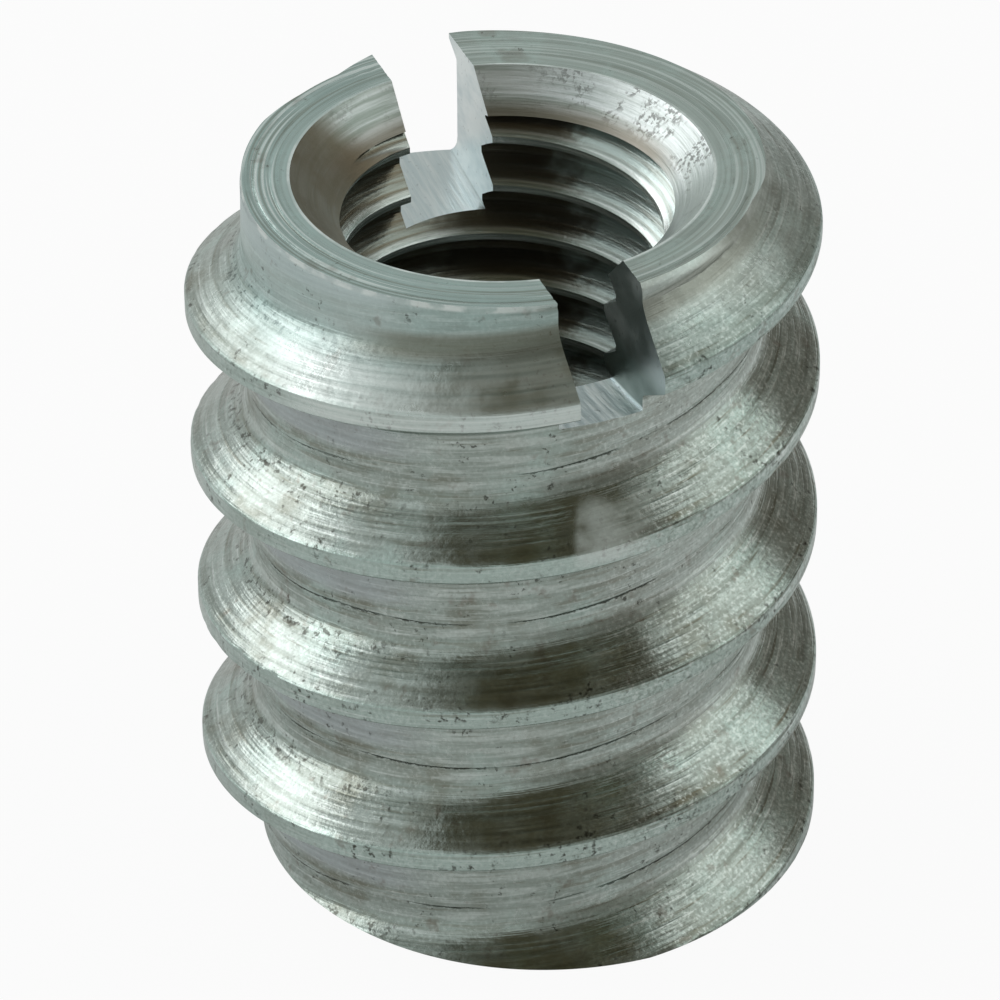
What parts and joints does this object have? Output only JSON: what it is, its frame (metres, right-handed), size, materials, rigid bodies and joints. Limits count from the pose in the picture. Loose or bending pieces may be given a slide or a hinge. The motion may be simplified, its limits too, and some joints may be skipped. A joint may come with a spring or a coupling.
{
  "type": "threaded insert",
  "caption": "Screw-in steel insert for wood: coarse outer thread, fine inner machine thread and a driver slot across one end.",
  "frame": {"origin": "centre of the insert's lower end, where it stands", "axes": "+Z along the axis, towards the slotted end; the driver slot runs along Y"},
  "size_m": [0.0166, 0.0166, 0.02],
  "materials": {
    "zinc_steel": "dull zinc plate over turned steel, with lathe marks and light wear"
  },
  "bodies": {
    "root": {"threaded_insert": "zinc_steel"}
  },
  "joints": []
}
